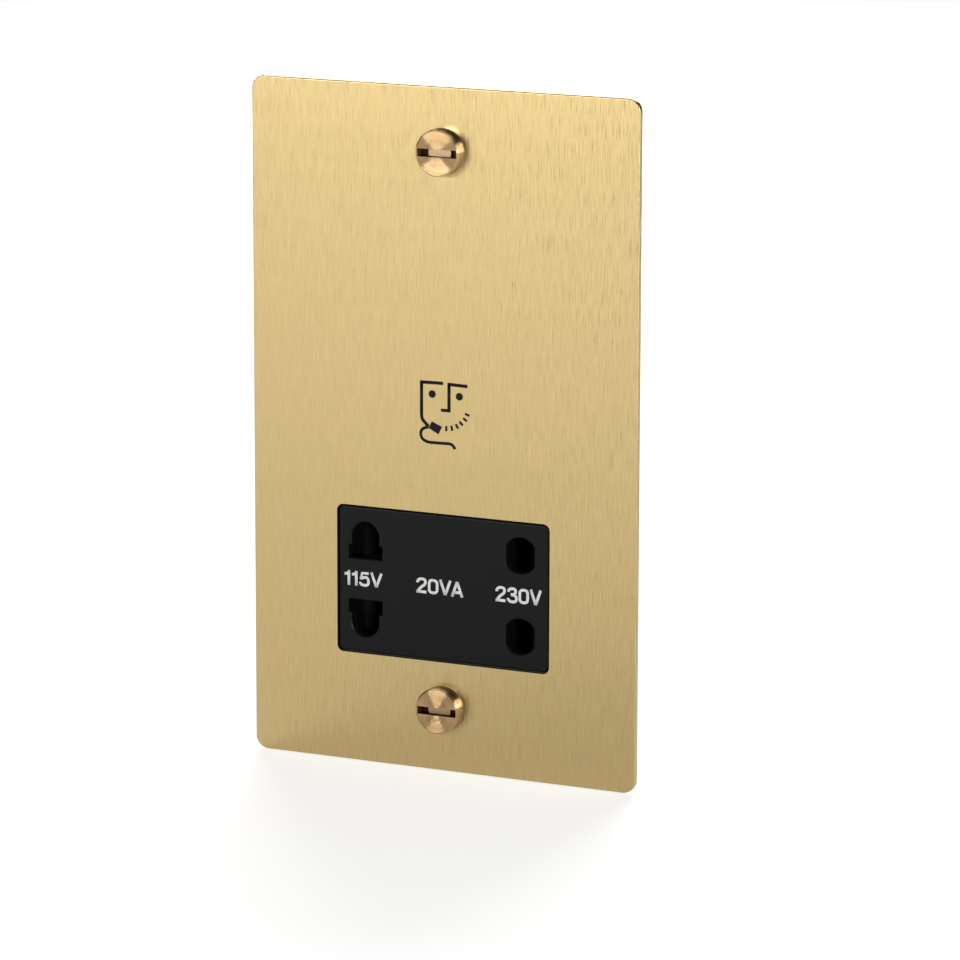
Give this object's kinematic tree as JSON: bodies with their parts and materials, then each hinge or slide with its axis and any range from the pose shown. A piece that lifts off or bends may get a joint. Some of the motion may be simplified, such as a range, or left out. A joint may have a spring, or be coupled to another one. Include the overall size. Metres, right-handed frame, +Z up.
{
  "type": "dual-voltage shaver socket",
  "caption": "Flush wall socket for shavers: brushed brass plate, black face with pin holes for two voltages, shutter slider and an isolating transformer behind.",
  "frame": {"origin": "midway between the two wall-fixing screws, on the plate's rear face, which lies on the wall", "axes": "+Z up, +Y back into the wall box, +X to the viewer's right from the front"},
  "size_m": [0.09, 0.0446, 0.148],
  "materials": {
    "brushed_brass": "satin, brushed lengthwise, lacquered",
    "turned_brass": "satin, turned",
    "spring_brass": "bright stamped strip",
    "terminal_brass": "machined",
    "zinc_steel": "bright zinc plate",
    "spring_steel": "drawn wire",
    "core_steel": "varnished laminations",
    "black_moulding": "fine satin",
    "slider_moulding": "satin",
    "chassis_moulding": "satin",
    "block_moulding": "satin, black as the face",
    "bobbin_moulding": "glass-filled, satin",
    "copper_wire": "enamelled",
    "yellow_tape": "polyester film",
    "tinned_pin": "tinned",
    "cutout_case": "sealed case",
    "lead_brown": "insulated lead",
    "lead_blue": "insulated lead",
    "lead_red": "insulated lead",
    "lead_white": "insulated lead",
    "lead_violet": "insulated lead",
    "lead_green_yellow": "insulated lead, striped"
  },
  "bodies": {
    "fixed": {"bobbin": "bobbin_moulding", "centring_spring": "spring_steel", "chassis": "chassis_moulding", "common_link": "spring_brass", "contact_115_lower": "spring_brass", "contact_115_upper": "spring_brass", "contact_230_lower": "spring_brass", "contact_230_upper": "spring_brass", "contact_block": "block_moulding", "core_screws": "zinc_steel", "core_washers": "zinc_steel", "cover_screws": "zinc_steel", "earth_tag": "tinned_pin", "fixing_screws": "turned_brass", "front_plate": "brushed_brass", "lead_115": "lead_white", "lead_230": "lead_red", "lead_common": "lead_violet", "lead_cutout": "lead_brown", "lead_earth": "lead_green_yellow", "lead_live": "lead_brown", "lead_neutral": "lead_blue", "lead_switched": "lead_brown", "plate_studs": "zinc_steel", "primary_tags": "tinned_pin", "primary_tape": "yellow_tape", "primary_winding": "copper_wire", "rear_cover": "chassis_moulding", "screw_caps": "turned_brass", "secondary_tags": "tinned_pin", "secondary_tape": "yellow_tape", "secondary_winding": "copper_wire", "socket_face": "black_moulding", "stud_nuts": "zinc_steel", "stud_washers": "zinc_steel", "switch_contact_live": "spring_brass", "switch_contact_load": "spring_brass", "terminal_earth": "terminal_brass", "terminal_live": "terminal_brass", "terminal_neutral": "terminal_brass", "terminal_screws": "zinc_steel", "thermal_cutout": "cutout_case", "transformer_core": "core_steel"},
    "slider": {"shutter": "slider_moulding", "switch_wiper": "spring_brass"}
  },
  "joints": [
    {"name": "shutter_slide", "type": "slide", "parent": "fixed", "child": "slider", "axis": [1, 0, 0], "range_m": [-0.0035, 0.0035], "stiffness_N_per_m": 300, "deforming": ["centring_spring"]}
  ]
}
